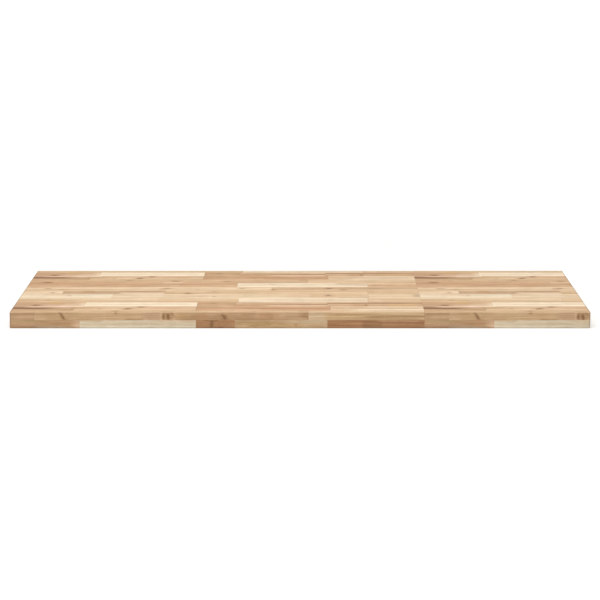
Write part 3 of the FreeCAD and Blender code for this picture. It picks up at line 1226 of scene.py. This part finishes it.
def dress_row(piece, boxes, staves, woods, plank):
    """Write the values of each stave on its points, and give each face its wood."""
    mesh = piece.data
    place, across, seeds, fronts, backs = [], [], [], [], []
    for point in mesh.vertices:
        index = sum(point.co.x > low.x - NEAR for low, high in boxes[1:])
        low, high = boxes[index]
        front, back, turn = staves[index % len(staves)]
        front_side = high.y - STAVE_WIDTH if low.y - cad_low.y < NEAR else low.y
        middle = Vector((low.x, front_side + STAVE_WIDTH / 2, (low.z + high.z) / 2))
        place += list(point.co - middle)
        across.append((point.co.y - middle.y) / STAVE_WIDTH - turn)
        seeds.append((GOLDEN * (plank * PLANKS_APART + index % len(staves) + 1)) % 1)
        fronts += TONES[front]
        backs += TONES[back]
    for name, kind, field, values in (
        ("stave", "FLOAT_VECTOR", "vector", place),
        ("across", "FLOAT", "value", across),
        ("seed", "FLOAT", "value", seeds),
        ("front_tone", "FLOAT_COLOR", "color", fronts),
        ("back_tone", "FLOAT_COLOR", "color", backs),
    ):
        mesh.attributes.new(name, kind, "POINT").data.foreach_set(field, values)
    for wood in (*woods, end_grain):
        mesh.materials.append(wood)
    for face in mesh.polygons:
        on_end = abs(face.normal.x) > END_SLANT
        on_front = len(woods) > 1 and face.normal.y < -FRONT_SLANT
        face.material_index = len(woods) if on_end else int(on_front)
    start_clean()
    piece.select_set(True)
    bpy.context.view_layer.objects.active = piece
    bpy.ops.object.shade_smooth_by_angle(angle=SMOOTH_BELOW)


print("a whole stave is", round(STAVE_WIDTH / MM, 1), "mm wide")


# %% Make every row
def finish_row(node, staves, woods, plank):
    """Make and dress one row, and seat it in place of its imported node."""
    boxes = stave_boxes(node)
    piece = make_row(node.replace("row", "staves"), boxes)
    dress_row(piece, boxes, staves, woods, plank)
    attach(piece, BODY)
    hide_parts(node)
    return len(boxes)


stave_count = 0
for number, node in enumerate(upper_rows):
    pattern = number % len(ROWS)
    woods = [row_woods[pattern]] if number else [row_woods[pattern], front_upper_wood]
    stave_count += finish_row(node, ROWS[pattern][0], woods, pattern)
for number, node in enumerate(lower_rows):
    shift = number % HIDDEN_SHIFTS
    staves, woods = HIDDEN_STAVES[shift:] + HIDDEN_STAVES[:shift], [plain_wood]
    if number == 0:
        staves, woods = FRONT_LOWER[0], [front_lower_wood]
    stave_count += finish_row(node, staves, woods, number + len(upper_rows))
for mesh, _ in first_rows.values():
    bpy.data.meshes.remove(mesh)
print(stave_count, "staves;", len(first_rows), "rows modelled,",
      len(upper_rows) + len(lower_rows) - len(first_rows), "copied")


# %% [markdown]
# ## Floor and light
#
# The board lies on a plain pale floor in soft daylight. Half of the light comes from all round. The
# other half is one broad lamp above and in front, which makes the top face lighter than the front
# edge. It stands near enough for the board to get a little darker to the right and to the back. For
# the camera the sky is white, and so is the floor, which has a glow that only the camera and a
# reflection see. It still takes the board's shadow. The lamp reaches the far floor less, so the glow
# grows there.

# %% The sky
SKY_STRENGTH = 0.52


def seen_white(tree):
    """One for what looks at the surroundings: the camera, a reflection, or a look through glass."""
    rays = tree.nodes.new("ShaderNodeLightPath").outputs
    through = sums(tree, "MAXIMUM", rays["Is Glossy Ray"], rays["Is Transmission Ray"])
    return sums(tree, "MAXIMUM", rays["Is Camera Ray"], through)


def make_sky():
    """A plain sky that is white to the camera and dimmer as a light."""
    world = bpy.data.worlds.new("sky")
    bpy.context.scene.world = world
    world.use_nodes = True
    tree = world.node_tree
    background = tree.nodes["Background"]
    strength = sums(tree, "MULTIPLY_ADD", seen_white(tree), 1.0 - SKY_STRENGTH, SKY_STRENGTH)
    put(tree, background.inputs["Strength"], strength)
    background.inputs["Color"].default_value = (1, 1, 1, 1)


make_sky()
print("sky at", SKY_STRENGTH)


# %% The floor
FLOOR_COLOUR = (0.65, 0.63, 0.60, 1)
FLOOR_WIDTH = 60.0
FLOOR_GAP = 0.2 * MM
GLOW_GROWS = (0.9, 2.6)
GLOW = (0.45, 0.75)


def make_floor():
    """A wide floor just under the board, which the camera sees as white."""
    start_clean()
    bpy.ops.mesh.primitive_plane_add(size=FLOOR_WIDTH, location=(0, 0, cad_low.z - FLOOR_GAP))
    floor = bpy.context.object
    floor.name = "floor"
    material = bpy.data.materials.new("floor")
    material.use_nodes = True
    tree = material.node_tree
    tree.nodes.remove(tree.nodes["Principled BSDF"])
    matt = tree.nodes.new("ShaderNodeBsdfDiffuse")
    matt.inputs["Color"].default_value = FLOOR_COLOUR
    glow = tree.nodes.new("ShaderNodeEmission")
    away = vectors(tree, "LENGTH", tree.nodes.new("ShaderNodeTexCoord").outputs["Object"])
    fill = ramp(tree, away, *GLOW_GROWS, *GLOW)
    put(tree, glow.inputs["Strength"], sums(tree, "MULTIPLY", seen_white(tree), fill))
    total = tree.nodes.new("ShaderNodeAddShader")
    put(tree, total.inputs[0], matt.outputs[0])
    put(tree, total.inputs[1], glow.outputs[0])
    put(tree, tree.nodes["Material Output"].inputs["Surface"], total.outputs[0])
    floor.data.materials.append(material)


make_floor()
print("floor colour", FLOOR_COLOUR[:3])


# %% The lamp
LAMP_POWER = 134.0
LAMP_SIZE = 4.2
LAMP_PLACE = (-0.5, -1.75, 4.15)


def make_lamp():
    """A broad round lamp above, in front and a little to the left, turned to the board."""
    data = bpy.data.lights.new("lamp", "AREA")
    data.shape = "DISK"
    data.size = LAMP_SIZE
    data.energy = LAMP_POWER
    lamp = bpy.data.objects.new("lamp", data)
    lamp.location = LAMP_PLACE
    lamp.rotation_euler = Vector(LAMP_PLACE).to_track_quat("Z", "Y").to_euler()
    lamp.visible_camera = False
    bpy.context.scene.collection.objects.link(lamp)


make_lamp()
bpy.context.scene.view_settings.view_transform = "Standard"
print("lamp of", LAMP_POWER, "W,", LAMP_SIZE, "m wide")
